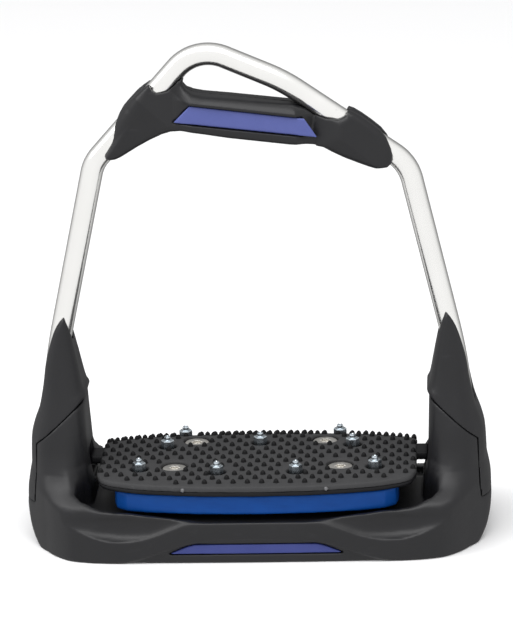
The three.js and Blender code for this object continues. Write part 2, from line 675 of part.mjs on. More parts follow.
function treadScrew(x, y) {
  const bottom = PLATE_BOTTOM + PLATE_THICK + GAP;
  const profile = [
    [0, UPPER_PLATE_BOTTOM + 0.1], [SCREW_SHANK, UPPER_PLATE_BOTTOM + 0.1], [SCREW_SHANK, bottom],
    [DISC_RADIUS, bottom], [DISC_RADIUS, bottom + 0.8], [DISC_RADIUS - 0.4, bottom + 1.1], [0, bottom + 1.1],
  ];
  return turned(profile, x, y, 20).subtract(disc(1.5, bottom - 0.6, bottom + 3, x, y, 6));
}

addPiece('tread_plate', treadPlate(), CHARCOAL);
addPiece('grip_pad', gripPad(), RUBBER);
STUD_PLACES.forEach(([x, y], i) => addPiece(`stud_${i + 1}`, stud(x, y), ZINC));
TREAD_SCREW_PLACES.forEach(([x, y], i) => addPiece(`tread_screw_${i + 1}`, treadScrew(x, y), STEEL));

export default group;
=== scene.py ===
import math

import bmesh
import bpy
import numpy as np
from mathutils import Matrix, Vector


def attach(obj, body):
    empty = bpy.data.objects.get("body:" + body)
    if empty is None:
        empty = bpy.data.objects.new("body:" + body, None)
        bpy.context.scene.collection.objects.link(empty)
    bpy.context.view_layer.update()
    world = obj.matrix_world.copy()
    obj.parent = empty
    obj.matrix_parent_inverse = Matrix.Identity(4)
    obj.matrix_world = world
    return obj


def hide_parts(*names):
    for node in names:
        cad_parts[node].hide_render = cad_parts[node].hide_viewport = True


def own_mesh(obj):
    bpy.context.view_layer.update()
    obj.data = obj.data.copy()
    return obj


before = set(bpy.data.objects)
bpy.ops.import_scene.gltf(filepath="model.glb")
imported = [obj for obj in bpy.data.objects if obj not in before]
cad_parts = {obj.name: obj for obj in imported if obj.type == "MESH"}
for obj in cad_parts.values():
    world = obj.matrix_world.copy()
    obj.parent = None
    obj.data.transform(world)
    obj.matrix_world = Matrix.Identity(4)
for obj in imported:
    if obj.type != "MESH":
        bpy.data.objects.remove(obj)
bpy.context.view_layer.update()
mm = 0.001
print("frame loaded:", len(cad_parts), "nodes")

# camera, a long lens a little right of the middle, with a slight roll
cameraSet = {"target": (0.0006, 0.0, 0.0785), "distance": 1.3207, "azimuth": 3.375,
             "elevation": 17.15, "roll": -1.856, "lens": 206.0}


def placeCamera(s):
    turn, lift, roll = (math.radians(s[k]) for k in ("azimuth", "elevation", "roll"))
    target = Vector(s["target"])
    away = Vector((math.sin(turn) * math.cos(lift), -math.cos(turn) * math.cos(lift),
                   math.sin(lift)))
    right = Vector((math.cos(turn), math.sin(turn), 0.0))
    up = away.cross(right)
    side = math.cos(roll) * right + math.sin(roll) * up
    top = math.cos(roll) * up - math.sin(roll) * right
    camera = bpy.data.objects.new("camera", bpy.data.cameras.new("camera"))
    camera.data.lens = s["lens"]
    camera.data.sensor_width = 36
    camera.data.clip_start = 0.05
    camera.matrix_world = Matrix.Translation(target + away * s["distance"]) @ Matrix(
        (side, top, away)).transposed().to_4x4()
    bpy.context.scene.collection.objects.link(camera)
    bpy.context.scene.camera = camera


placeCamera(cameraSet)

# shading helper: expressions on sockets add their own nodes
class Shade:
    def __init__(self, tree, socket=None):
        self.tree, self.socket = tree, socket

    def node(self, kind, settings=None, inputs=None, output=0):
        made = self.tree.nodes.new(kind)
        for name, value in (settings or {}).items():
            if name == "stops":
                ramp = made.color_ramp
                for index, (position, colour) in enumerate(value):
                    stop = ramp.elements[index] if index < 2 else ramp.elements.new(position)
                    stop.position = position
                    stop.color = colour if len(colour) == 4 else (*colour, 1)
            else:
                setattr(made, name, value)
        for name, value in (inputs or {}).items():
            if isinstance(value, Shade):
                self.tree.links.new(value.socket, made.inputs[name])
            else:
                made.inputs[name].default_value = value
        return Shade(self.tree, made.outputs[output])

    def maths(self, operation, *values):
        return self.node("ShaderNodeMath", {"operation": operation}, dict(enumerate(values)))

    def __add__(self, other):
        return self.maths("ADD", self, other)

    def __mul__(self, other):
        return self.maths("MULTIPLY", self, other)

    def __sub__(self, other):
        return self.maths("SUBTRACT", self, other)

    def __rsub__(self, other):
        return self.maths("SUBTRACT", other, self)

    def clamped(self):
        return self.node("ShaderNodeClamp", None, {0: self})

    def ramp(self, *stops):
        return self.node("ShaderNodeValToRGB", {"stops": stops}, {0: self})

    def blend(self, colourA, colourB):
        wide = [(*c, 1) if isinstance(c, tuple) and len(c) == 3 else c for c in (colourA, colourB)]
        inputs = {0: self, 6: wide[0], 7: wide[1]}
        return self.node("ShaderNodeMix", {"data_type": "RGBA"}, inputs, 2)


# studio: a pale floor under a soft box; the room around is bright in front and dim behind
studioSet = {"floorSize": 6.0, "floorColour": (0.86, 0.86, 0.865), "floorRough": 0.9, "floorShine": 0.1,
             "towardLight": (-0.05, -0.97, 0.12), "roomStrength": 1.16,
             "room": [(0.0, 0.20), (0.08, 0.24), (0.18, 0.36), (0.28, 0.56), (0.42, 0.80), (0.60, 0.90),
                      (1.0, 0.95)]}
lightSet = {
    # name: place, aimed at, size x, size y, watts
    "topBox": ((-0.1, -0.42, 1.25), (0, 0, 0), 1.4, 0.75, 11),
    "leftBox": ((-0.9, -0.2, 0.9), (0, 0, 0.08), 0.5, 0.8, 3.5),
}


def buildStudio():
    scene = bpy.context.scene
    scene.view_settings.view_transform = "Standard"
    world = bpy.data.worlds.new("studio")
    world.use_nodes = True
    start = Shade(world.node_tree)
    direction = start.node("ShaderNodeTexCoord")
    facing = start.node("ShaderNodeVectorMath", {"operation": "DOT_PRODUCT"},
                        {0: direction, 1: studioSet["towardLight"]}, 1)
    room = (facing * 0.5 + 0.5).ramp(*[(at, (tone, tone, tone)) for at, tone in studioSet["room"]])
    backdrop = world.node_tree.nodes["Background"]
    backdrop.inputs["Strength"].default_value = studioSet["roomStrength"]
    world.node_tree.links.new(room.socket, backdrop.inputs["Color"])
    scene.world = world
    for name, (place, aim, sizeX, sizeY, power) in lightSet.items():
        light = bpy.data.objects.new(name, bpy.data.lights.new(name, "AREA"))
        light.data.shape = "RECTANGLE"
        light.data.size = sizeX
        light.data.size_y = sizeY
        light.data.energy = power
        light.location = place
        light.rotation_euler = (Vector(aim) - Vector(place)).to_track_quat("-Z", "Y").to_euler()
        scene.collection.objects.link(light)
    half = studioSet["floorSize"] / 2
    mesh = bpy.data.meshes.new("floor")
    corners = [(-half, -half, 0), (half, -half, 0), (half, half, 0), (-half, half, 0)]
    mesh.from_pydata(corners, [], [(0, 1, 2, 3)])
    floor = bpy.data.objects.new("floor", mesh)
    floor.visible_glossy = False  # the rod mirrors the room instead of endless white paper
    scene.collection.objects.link(floor)
    paint = bpy.data.materials.new("floor_paper")
    paint.use_nodes = True
    shader = paint.node_tree.nodes["Principled BSDF"]
    shader.inputs["Base Color"].default_value = (*studioSet["floorColour"], 1)
    shader.inputs["Roughness"].default_value = studioSet["floorRough"]
    shader.inputs["Specular IOR Level"].default_value = studioSet["floorShine"]
    mesh.materials.append(paint)


buildStudio()
print("camera and studio set")


class Finish:
    def __init__(self, name, **constants):
        self.material = bpy.data.materials.new(name)
        self.material.use_nodes = True
        self.tree = self.material.node_tree
        self.shader = self.tree.nodes["Principled BSDF"]
        self.start = Shade(self.tree)
        self.place = self.start.node("ShaderNodeTexCoord", output=3)
        for socket, value in constants.items():
            self.shader.inputs[socket.replace("_", " ")].default_value = value

    def noise(self, size, detail=3.0, rough=0.5, stretch=None):
        # size is the feature size in millimetres
        place = self.place
        if stretch:
            place = self.start.node("ShaderNodeVectorMath", {"operation": "MULTIPLY"},
                                    {0: place, 1: stretch})
        return self.start.node("ShaderNodeTexNoise", None, {
            "Vector": place, "Scale": 1000.0 / size, "Detail": detail, "Roughness": rough})

    def cells(self, size):
        return self.start.node("ShaderNodeTexVoronoi", None, {"Vector": self.place, "Scale": 1000.0 / size})

    def wire(self, socket, value):
        self.tree.links.new(value.socket, self.shader.inputs[socket])

    def bump(self, height, strength, distance):
        made = self.start.node("ShaderNodeBump", None, {
            "Height": height, "Strength": strength, "Distance": distance * mm})
        self.wire("Normal", made)


def plasticFinish(name, look):
    finish = Finish(name, Specular_IOR_Level=look["specular"])
    cloud = finish.noise(look["cloud"], 4)
    grain = finish.noise(look["grain"], 2, 0.6)
    speck = finish.cells(look["speck"])
    scuff = (finish.noise(look["scuff"], 5, 0.6, (1, 1, 3)) - look["scuffFrom"]).clamped() * 4
    tone = (cloud * 0.7 + grain * 0.3).clamped()
    clean = tone.blend(look["dark"], look["light"])
    finish.wire("Base Color", scuff.clamped().blend(clean, look["scuffed"]))
    finish.wire("Roughness", (cloud * 0.16 + grain * 0.1 + look["rough"] - 0.13).clamped())
    finish.bump(grain * 0.6 + speck * 0.4, look["bump"], look["depth"])
    return finish.material


# colours are linear, and feature sizes and depths are in millimetres
charcoalLook = {"dark": (0.0062, 0.0062, 0.0074), "light": (0.0102, 0.0102, 0.0118),
                "scuffed": (0.017, 0.017, 0.0195), "rough": 0.40, "specular": 0.34, "cloud": 14,
                "grain": 0.35, "speck": 0.6, "scuff": 9, "scuffFrom": 0.62, "bump": 0.35, "depth": 0.05}
plateLook = dict(charcoalLook, rough=0.5, specular=0.16, dark=(0.0055, 0.0055, 0.0065),
                 light=(0.0095, 0.0095, 0.0108))
charcoal = plasticFinish("charcoal_plastic", charcoalLook)
platePlastic = plasticFinish("plate_plastic", plateLook)
# the nibs are charcoal plastic painted light grey: a painted highlight
nibHighlightLook = dict(charcoalLook, rough=0.25, specular=0.6, dark=(0.08, 0.08, 0.085),
               light=(0.15, 0.15, 0.155))
nibHighlightPlastic = plasticFinish("nib_painted_highlight", nibHighlightLook)

rubberLook = {"dark": (0.028, 0.028, 0.029), "light": (0.050, 0.050, 0.052),
              "dust": (0.080, 0.080, 0.081), "specular": 0.22, "rough": 0.5, "bump": 0.5, "depth": 0.08}
# the spikes are the grip's own rubber painted much darker: painted shade on their sides
spikeShadedLook = dict(rubberLook, dark=(0.0050, 0.0050, 0.0055), light=(0.0095, 0.0095, 0.0102),
                 dust=(0.016, 0.016, 0.0165), specular=0.16)


def gripFinish(name, look):
    finish = Finish(name, Specular_IOR_Level=look["specular"])
    cloud = finish.noise(10, 4)
    grain = finish.noise(0.4, 3, 0.6)
    dust = (finish.noise(2.2, 4, 0.7) - 0.6).clamped() * 2.5
    tone = (cloud * 0.5 + grain * 0.5).clamped()
    clean = tone.blend(look["dark"], look["light"])
    finish.wire("Base Color", dust.clamped().blend(clean, look["dust"]))
    finish.wire("Roughness", (grain * 0.25 + cloud * 0.1 + look["rough"]).clamped())
    finish.bump(grain, look["bump"], look["depth"])
    return finish.material


gripRubber = gripFinish("grip_rubber", rubberLook)
spikeShadedRubber = gripFinish("spike_rubber_painted_shade", spikeShadedLook)

blueLook = {"deep": (0.0012, 0.034, 0.175), "bright": (0.003, 0.064, 0.29), "rough": 0.42,
            "specular": 0.14, "coatRough": 0.3, "bump": 0.25, "depth": 0.05}


def blueRubberFinish(look):
    finish = Finish("blue_rubber", Specular_IOR_Level=look["specular"], Coat_Roughness=look["coatRough"])
    cloud = finish.noise(9, 3, stretch=(1, 1, 2.5))
    fine = finish.noise(0.5, 3, 0.6)
    streak = finish.noise(1.4, 3, 0.5, (0.25, 0.25, 3.0))
    tone = (cloud * 0.7 + streak * 0.3).clamped()
    finish.wire("Base Color", tone.blend(look["deep"], look["bright"]))
    finish.wire("Roughness", (cloud * 0.16 + fine * 0.1 + look["rough"] - 0.1).clamped())
    finish.wire("Coat Weight", (fine * 0.04).clamped())
    finish.bump(fine * 0.5 + streak * 0.5, look["bump"], look["depth"])
    return finish.material


blueRubber = blueRubberFinish(blueLook)

badgeLook = {"low": (0.020, 0.031, 0.15), "high": (0.038, 0.052, 0.22), "rough": 0.22,
             "specular": 0.3, "coatRough": 0.12, "bump": 0.2, "depth": 0.02}
# the eye badge is the base badge's blue painted lighter: painted light
eyeBadgeLitLook = dict(badgeLook, low=(0.055, 0.072, 0.235), high=(0.085, 0.105, 0.32))


def badgeFinish(name, look):
    finish = Finish(name, Specular_IOR_Level=look["specular"], Coat_Roughness=look["coatRough"])
    cloud = finish.noise(7, 3)
    fine = finish.noise(0.22, 2, 0.7)
    tone = (cloud * 0.5 + fine * 0.5).clamped()
    finish.wire("Base Color", tone.blend(look["low"], look["high"]))
    finish.wire("Roughness", (fine * 0.2 + cloud * 0.1 + look["rough"]).clamped())
    finish.wire("Coat Weight", (cloud * 0.1 + 0.05).clamped())
    finish.bump(fine, look["bump"], look["depth"])
    return finish.material


badgeBlue = badgeFinish("badge_blue", badgeLook)
eyeBadgeLitBlue = badgeFinish("eye_badge_blue_painted_light", eyeBadgeLitLook)


def steelFinish(name, look):
    finish = Finish(name)
    cloud = finish.noise(look["cloud"], 3)
    scratch = finish.noise(look["scratch"], 3, 0.6, look["stretch"])
    pit = (finish.noise(1.1, 5, 0.7) - 0.66).clamped() * 6
    tone = (cloud * 0.6 + scratch * 0.4).clamped()
    clean = tone.blend(look["low"], look["high"])
    finish.wire("Base Color", pit.clamped().blend(clean, look["pitColour"]))
    finish.wire("Metallic", 1 - pit.clamped() * 0.15)
    finish.wire("Roughness", (scratch * 0.14 + cloud * 0.08 + look["rough"] - 0.08).clamped())
    finish.bump(scratch, look["bump"], look["depth"])
    return finish.material


rodLook = {"low": (0.78, 0.775, 0.755), "high": (0.90, 0.895, 0.88), "pitColour": (0.5, 0.49, 0.46),
           "cloud": 16, "scratch": 0.35, "stretch": (1, 1, 0.12), "rough": 0.17, "bump": 0.12,
           "depth": 0.02}
satinLook = {"low": (0.68, 0.66, 0.62), "high": (0.84, 0.82, 0.78), "pitColour": (0.3, 0.29, 0.27),
             "cloud": 4, "scratch": 0.25, "stretch": (1, 1, 1), "rough": 0.32, "bump": 0.25,
             "depth": 0.02}
zincLook = {"low": (0.46, 0.52, 0.56), "high": (0.66, 0.72, 0.77), "pitColour": (0.35, 0.38, 0.4),
            "cloud": 1.5, "scratch": 0.3, "stretch": (1, 1, 1), "rough": 0.24, "bump": 0.2, "depth": 0.02}
rodSteel = steelFinish("polished_steel", rodLook)
satinSteel = steelFinish("satin_steel", satinLook)
zincSteel = steelFinish("zinc_steel", zincLook)
print("finishes made")


# moulded shapes: a distance field on a grid (millimetres), turned into a mesh where it crosses zero
def smoothMax(a, b, radius):
    near = np.maximum(radius - np.abs(a - b), 0) / radius
    return np.maximum(a, b) + near * near * radius / 4


def smoothMin(a, b, radius):
    return -smoothMax(-a, -b, radius)


def curveThrough(points, perSpan=6):
    # a smooth (Catmull-Rom) curve through open points
    p = np.array(points, float)
    padded = np.vstack([2 * p[0] - p[1], p, 2 * p[-1] - p[-2]])
    t = np.linspace(0, 1, perSpan, endpoint=False)[:, None]
    spans = []
    for i in range(len(p) - 1):
        a, b, c, d = padded[i:i + 4]
        spans.append(0.5 * (2 * b + (c - a) * t + (2 * a - 5 * b + 4 * c - d) * t ** 2
                            + (3 * b - a - 3 * c + d) * t ** 3))
    return np.vstack([*spans, p[-1:]])


def tableAt(table, at):
    # straight lines between the (position, value) rows of a table
    return np.interp(at, *np.array(table, float).T)


def mirroredPoints(points):
    flipped = points[::-1] * np.array([-1.0, 1.0])
    return flipped[np.abs(flipped[:, 0]) > 1e-6]


def closedHalf(points):
    points = np.array(points, float)
    return np.vstack([points, mirroredPoints(points)])


def outlineDistance(points, u, v):
    # signed distance to a closed outline on the grid of u and v, negative inside
    gridU, gridV = np.meshgrid(u, v, indexing="ij")
    best = np.full(gridU.shape, 1e9)
    inside = np.zeros(gridU.shape, bool)
    for a, b in zip(points, np.roll(points, -1, axis=0)):
        du, dv = b - a
        length = du * du + dv * dv + 1e-12
        t = np.clip(((gridU - a[0]) * du + (gridV - a[1]) * dv) / length, 0, 1)
        best = np.minimum(best, (gridU - a[0] - t * du) ** 2 + (gridV - a[1] - t * dv) ** 2)
        crosses = (a[1] > gridV) != (b[1] > gridV)
        if dv:
            inside ^= crosses & (gridU < a[0] + (gridV - a[1]) * du / dv)
    return np.where(inside, -1, 1) * np.sqrt(best)


def lineDistance(points, u, v):
    # distance to an open line, and the side of it: positive on the left of its direction
    gridU, gridV = np.meshgrid(u, v, indexing="ij")
    best = np.full(gridU.shape, 1e9)
    side = np.zeros(gridU.shape)
    for a, b in zip(points[:-1], points[1:]):
        du, dv = b - a
        t = np.clip(((gridU - a[0]) * du + (gridV - a[1]) * dv) / (du * du + dv * dv), 0, 1)
        offU, offV = gridU - a[0] - t * du, gridV - a[1] - t * dv
        squared = offU ** 2 + offV ** 2
        closer = squared < best
        best = np.where(closer, squared, best)
        side = np.where(closer, du * offV - dv * offU, side)
    return np.sqrt(best), side


class Block:
    def __init__(self, low, high, step):
        self.step = step
        self.lines = [np.arange(low[i] - step, high[i] + 2 * step, step) for i in range(3)]
        self.x = self.lines[0][:, None, None]
        self.y = self.lines[1][None, :, None]
        self.z = self.lines[2][None, None, :]

    def outlineXZ(self, points, mirror=False):
        x = np.abs(self.lines[0]) if mirror else self.lines[0]
        return outlineDistance(np.array(points, float), x, self.lines[2])[:, None, :]

    def outlineXY(self, points):
        return outlineDistance(np.array(points, float), self.lines[0], self.lines[1])[:, :, None]

    def outlineYZ(self, points):
        return outlineDistance(np.array(points, float), self.lines[1], self.lines[2])[None, :, :]

    def sample(self, field, places):
        spot = (places - np.array([line[0] for line in self.lines])) / self.step
        low = np.clip(np.floor(spot).astype(int), 0, np.array(field.shape) - 2)
        part = spot - low
        total = np.zeros(len(places))
        for i in (0, 1):
            for j in (0, 1):
                for k in (0, 1):
                    weight = (np.abs(1 - i - part[:, 0]) * np.abs(1 - j - part[:, 1])
                              * np.abs(1 - k - part[:, 2]))
                    total += weight * field[low[:, 0] + i, low[:, 1] + j, low[:, 2] + k]
        return total


cubeCorners = [(i, j, k) for i in (0, 1) for j in (0, 1) for k in (0, 1)]


def fieldSurface(block, field):
    field = np.ascontiguousarray(np.broadcast_to(field, tuple(len(line) for line in block.lines)))
    size = np.array(field.shape) - 1
    inside = field < 0
    count = np.zeros(size, np.int8)
    for i, j, k in cubeCorners:
        count += inside[i:i + size[0], j:j + size[1], k:k + size[2]]
    mixed = (count > 0) & (count < 8)
    cells = np.argwhere(mixed)
    number = np.full(size, -1)
    number[mixed] = np.arange(len(cells))
    value = {c: field[cells[:, 0] + c[0], cells[:, 1] + c[1], cells[:, 2] + c[2]] for c in cubeCorners}
    total = np.zeros((len(cells), 3))
    hits = np.zeros(len(cells))
    for a in cubeCorners:
        for axis in range(3):
            if a[axis]:
                continue
            b = tuple(1 if n == axis else a[n] for n in range(3))
            crossed = (value[a] < 0) != (value[b] < 0)
            place = np.tile(np.array(a, float), (len(cells), 1))
            place[:, axis] = np.where(crossed, value[a] / np.where(crossed, value[a] - value[b], 1), 0)
            total += place * crossed[:, None]
            hits += crossed
    origin = np.array([line[0] for line in block.lines])
    verts = origin + (cells + total / hits[:, None]) * block.step
    for _ in range(3):
        depth = block.sample(field, verts)
        slope = np.zeros_like(verts)
        for axis in range(3):
            nudge = np.zeros(3)
            nudge[axis] = block.step * 0.5
            rise = block.sample(field, verts + nudge) - block.sample(field, verts - nudge)
            slope[:, axis] = rise / block.step
        move = -depth[:, None] * slope / np.maximum((slope ** 2).sum(1), 0.05)[:, None]
        verts += np.clip(move, -0.3 * block.step, 0.3 * block.step)
    quads = []
    for axis in range(3):
        b, c = (axis + 1) % 3, (axis + 2) % 3
        near = [slice(1, -1)] * 3
        near[axis] = slice(0, -1)
        far = list(near)
        far[axis] = slice(1, None)
        start, end = inside[tuple(near)], inside[tuple(far)]
        for outward in (True, False):
            at = np.argwhere((start == outward) & (end != outward))
            at[:, b] += 1
            at[:, c] += 1
            ring = []
            for stepB, stepC in ((-1, -1), (0, -1), (0, 0), (-1, 0)):
                cell = at.copy()
                cell[:, b] += stepB
                cell[:, c] += stepC
                ring.append(number[cell[:, 0], cell[:, 1], cell[:, 2]])
            quads.append(np.stack(ring if outward else ring[::-1], axis=1))
    return verts, np.vstack(quads)


def meshObject(name, verts, faces, material, smooth=True):
    mesh = bpy.data.meshes.new(name)
    mesh.from_pydata((np.asarray(verts) * mm).tolist(), [], [list(map(int, f)) for f in faces])
    mesh.validate()
    mesh.materials.append(material)
    mesh.polygons.foreach_set("use_smooth", [smooth] * len(mesh.polygons))
    piece = bpy.data.objects.new(name, mesh)
    bpy.context.scene.collection.objects.link(piece)
    return piece


def fieldObject(name, block, field, material):
    verts, faces = fieldSurface(block, field)
    print(" ", name, len(faces), "faces")
    return meshObject(name, verts, faces, material)


def bandFaces(rings, sides, climbFirst=False):
    # the quads between rings of vertices; climbFirst turns them the other way
    faces = []
    for ring in range(rings - 1):
        for i in range(sides):
            here, beside = ring * sides + i, ring * sides + (i + 1) % sides
            above, across = here + sides, beside + sides
            faces.append((here, above, across, beside) if climbFirst else (here, beside, across, above))
    return faces


def settle(piece, body, slot, *nodes):
    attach(piece, body)
    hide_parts(*nodes)


# the rod's centre line in x and z
rodSet = {"radius": 4.0, "foot": 14.0, "legX": 74.6, "bendStart": 33.0, "bendRadius": 200.0, "lean": 12.8,
          "corners": [(-55.7, 138.2, 14), (-17.6, 180.2, 15), (12.5, 167.0, 60), (56.2, 136.2, 16)],
          "sides": 40, "spacing": 0.8, "edge": 0.5, "clearance": 0.3, "legPoints": 40, "bendPoints": 32}


def archLine(s):
    lean = math.radians(s["lean"])
    angles = np.linspace(0, lean, s["legPoints"])
    bendX = s["legX"] - s["bendRadius"]
    rise = s["bendStart"] + s["bendRadius"] * np.sin(angles)
    leg = np.stack([-(bendX + s["bendRadius"] * np.cos(angles)), rise], axis=1)
    points = [np.array([[-s["legX"], s["foot"]]]), leg]
    here = leg[-1]
    corners = [np.array(c[:2], float) for c in s["corners"]] + [leg[-1] * np.array([-1, 1])]
    for index, (_, _, radius) in enumerate(s["corners"]):
        tip, after = corners[index], corners[index + 1]
        arriving = (tip - here) / np.linalg.norm(tip - here)
        leaving = (after - tip) / np.linalg.norm(after - tip)
        cross = arriving[0] * leaving[1] - arriving[1] * leaving[0]
        turn = math.acos(np.clip(arriving @ leaving, -1, 1))
        side = 1 if cross > 0 else -1
        start = tip - arriving * radius * math.tan(turn / 2)
        centre = start + np.array([-arriving[1], arriving[0]]) * side * radius
        first = math.atan2(start[1] - centre[1], start[0] - centre[0])
        sweep = first + side * np.linspace(0, turn, s["bendPoints"])
        arc = centre + radius * np.stack([np.cos(sweep), np.sin(sweep)], axis=1)
        points.append(arc)
        here = arc[-1]
    rightLeg = leg[::-1] * np.array([-1, 1])
    points += [rightLeg, np.array([[s["legX"], s["foot"]]])]
    line = np.vstack(points)
    return line[np.r_[True, np.linalg.norm(np.diff(line, axis=0), axis=1) > 1e-6]]


rodLine = archLine(rodSet)


def evenLine(line, spacing):
    along = np.r_[0, np.cumsum(np.linalg.norm(np.diff(line, axis=0), axis=1))]
    marks = np.linspace(0, along[-1], int(along[-1] / spacing))
    return np.stack([np.interp(marks, along, line[:, n]) for n in (0, 1)], axis=1)


def buildRod(s):
    line = evenLine(rodLine, s["spacing"])
    tangent = np.gradient(line, axis=0)
    tangent /= np.linalg.norm(tangent, axis=1)[:, None]
    angles = np.linspace(0, 2 * math.pi, s["sides"], endpoint=False)
    rings = []
    trims = [(0, s["radius"] - s["edge"]), (s["edge"], s["radius"])]
    spots = [(line[0] + tangent[0] * off, tangent[0], r) for off, r in trims]
    spots += [(p, t, s["radius"]) for p, t in zip(line[2:-2], tangent[2:-2])]
    spots += [(line[-1] - tangent[-1] * off, tangent[-1], r) for off, r in trims[::-1]]
    for place, direction, radius in spots:
        out = np.array([-direction[1], direction[0]])
        x = place[0] + radius * np.cos(angles) * out[0]
        z = place[1] + radius * np.cos(angles) * out[1]
        rings.append(np.stack([x, radius * np.sin(angles), z], axis=1))
    verts = np.vstack(rings)
    sides = s["sides"]
    faces = bandFaces(len(rings), sides, climbFirst=True)
    faces.append(list(range(sides)))
    faces.append([(len(rings) - 1) * sides + i for i in range(sides)][::-1])
    rod = meshObject("rod", verts, faces, rodSteel)
    settle(rod, "frame", "polished_steel", "arch_rod")


buildRod(rodSet)
print("rod built")


# frame: the U moulding and its upright covers
frameSet = {
    "step": 0.62, "coverStep": 0.45, "gap": 0.14, "baseTop": 17.7, "seatDepth": 3.1, "innerFace": 60.2,
    "baseBox": ((-84.8, -39.4, 0), (84.8, 39.4, 55)), "coverBox": ((56, -24, 10), (84.8, 24, 82.8)),
    "bottomEdge": [(0, -12), (70, -12), (74.5, -8), (78.4, -1.6), (81.0, 2), (82.7, 5.4), (83.8, 10),
                   (84.2, 14)],
    "outerEdge": [(84.1, 24), (83.8, 32), (83.2, 38.6), (81.8, 42.6), (79, 48.7), (77, 57), (75.6, 66),
                  (72.8, 76), (70.2, 81), (68.5, 82.5)],
    "innerEdge": [(68.5, 82.5), (67.2, 79), (64.8, 68), (62.7, 57), (61.4, 53.6), (60.8, 44), (60.2, 32),
                  (60.1, 26), (59.9, 23), (59.2, 21), (57.6, 19.6), (54.8, 18.4), (50, 17.7)],
    "planHalf": [(0, 39.6), (20, 39.4), (42, 38.9), (56, 38), (61.8, 36.9), (67.4, 34.9), (73, 29.8),
                 (77, 23.6), (80.2, 17), (82.6, 11), (84, 5), (84.4, 0)], "planSpread": 0.3, "spreadFrom": 76,
    "sideHalf": [(39.8, 0), (39.5, 8), (38.7, 14), (37.7, 17.8), (32.5, 20.6), (26.6, 24.4), (23, 28.6),
                 (20, 34), (17.8, 41), (13.9, 52.5), (10.4, 64), (7.6, 76), (6.2, 83)],
    # edge rounding: in the middle and at the uprights, by height
    "uprightFrom": [(44, 0), (58, 1)],
    "middleRound": [(0, 0.8), (14, 1.0), (20, 2.0), (60, 5.0), (83, 3.0)],
    "uprightRound": [(0, 0.8), (14, 1.4), (20, 2.6), (27, 9.0), (40, 9.0), (60, 6.0), (83, 3.0)],
    "faceRound": 0.8, "uprightFaceRound": [(0, 0.4), (14, 1.2), (20, 2.6), (28, 9.0)], "footRound": 0.6,
    "seatRound": [(18, 0.6), (22, 2.0), (30, 7.0)], "seamRound": 0.25, "softRound": 0.8, "rearRound": 1.2,
    "seam": [(58, 56), (60.6, 54.2), (79.3, 37.6), (79.9, 22), (80.5, 16.6), (92, 15.6), (92, 90),
             (58, 90)],
    "scoopLine": [(0, 14.7), (16, 14.6), (22, 14.4), (26, 13.7), (31, 12.0), (37, 9.8), (43, 8.5), (49, 8.0),
                  (54, 8.5), (58, 9.5), (62, 10.9), (67, 13), (72, 16)],
    "rimTop": [(0, 15.1), (18, 15.1), (26, 15.7), (34, 16.6), (42, 17.4), (48, 18.5), (54, 24), (60, 60)],
    "rimBack": -30,
    "scoopDepth": [(0, 3.4), (16, 3.4), (22, 3.3), (27, 3.1), (32, 2.9), (38, 2.8), (46, 4.0), (52, 4.4),
                   (60, 3.0), (66, 1.2), (70, 0)],
    "scoopLip": 1.6, "scoopFade": [(15, 1.0), (21, 0.55), (30, 0)],
    "panelLine": [(0, 9.3), (14, 8.9), (22, 8.0), (27.5, 6.6), (34.7, 4.1), (42, 1.8), (50, -0.4),
                  (70, -8)],
    "panelDepth": 1.0, "panelLip": 0.7,
    "badge": [(0, 6.9), (21.8, 6.9), (24.5, 6.2), (31, 3.4), (0, 3.4)], "badgeSet": 1.2, "badgeThick": 1.2,
    "badgeFit": 0.3, "badgeStep": 0.3, "badgeRound": 0.5,
    "padHalf": [(0, -35.8), (20, -35), (38, -32.8), (46, -30.8), (50, -27.6), (51, -23), (51, 24), (48, 28.6),
                (0, 30)],
    "seatHalf": [(0, -36.4), (20, -35.6), (38, -33.9), (50, -32.6), (58, -31.8), (62.5, -30.4), (64.8, -27.5),
                 (64.3, -23), (62.2, -18.5), (60.1, -16), (59.6, -10), (59.6, 21), (55, 27), (48, 29.2),
                 (0, 30.6)],
    "slopeStart": 10.0, "slope": 15.0, "rearInset": 0.2, "channelOpen": 48,
    # the groove for the tread's lug: from and to x, then middle and half size in y and in z
    "lugGroove": {"x": (55, 62.8), "y": (3.25, 6.65), "z": (26.25, 5.25)},
    "screws": [(-34, -19), (34, -19), (-34, 1), (34, 1)], "boreRadius": 3.9, "boreDepth": 3.3,
    "boreRound": 0.5,
}


def planOutline(s):
    front = curveThrough(s["planHalf"], 5)
    front[:, 0] += np.maximum(front[:, 0] - s["spreadFrom"], 0) * s["planSpread"]
    right = np.vstack([front * np.array([1, -1]), front[::-1][1:]])
    return closedHalf(right)


def seatHeight(s, y):
    return s["baseTop"] - np.maximum(y - s["slopeStart"], 0) * math.tan(math.radians(s["slope"]))


def rodDistance(block):
    # how far each grid point is from the rod's line, and which side of it
    distance, side = lineDistance(rodLine, block.lines[0], block.lines[2])
    return np.sqrt(distance[:, None, :] ** 2 + block.y ** 2), side[:, None, :]


def rodChannel(block, openAbove):
    tube, side = rodDistance(block)
    openSide = (side > 0) & (block.z > openAbove)
    return np.where(openSide, np.abs(block.y), tube) - rodSet["radius"] - rodSet["clearance"]


def frameBlank(s, block):
    half = np.vstack([curveThrough(s["bottomEdge"], 4), curveThrough(s["outerEdge"], 4),
                      curveThrough(s["innerEdge"], 4), [(0, s["baseTop"])]])
    front = block.outlineXZ(closedHalf(half))
    side = block.outlineYZ(closedHalf(curveThrough([(39.9, -12), *s["sideHalf"]], 4)))
    upright = tableAt(s["uprightFrom"], np.abs(block.x))
    middle = tableAt(s["middleRound"], block.z)
    outer = tableAt(s["uprightRound"], block.z)
    shape = smoothMax(front, side, middle + upright * (outer - middle))
    faceRound = s["faceRound"] + upright * tableAt(s["uprightFaceRound"], block.z)
    shape = smoothMax(shape, frontFaces(s, block), faceRound)
    return smoothMax(shape, -block.z, s["footRound"])


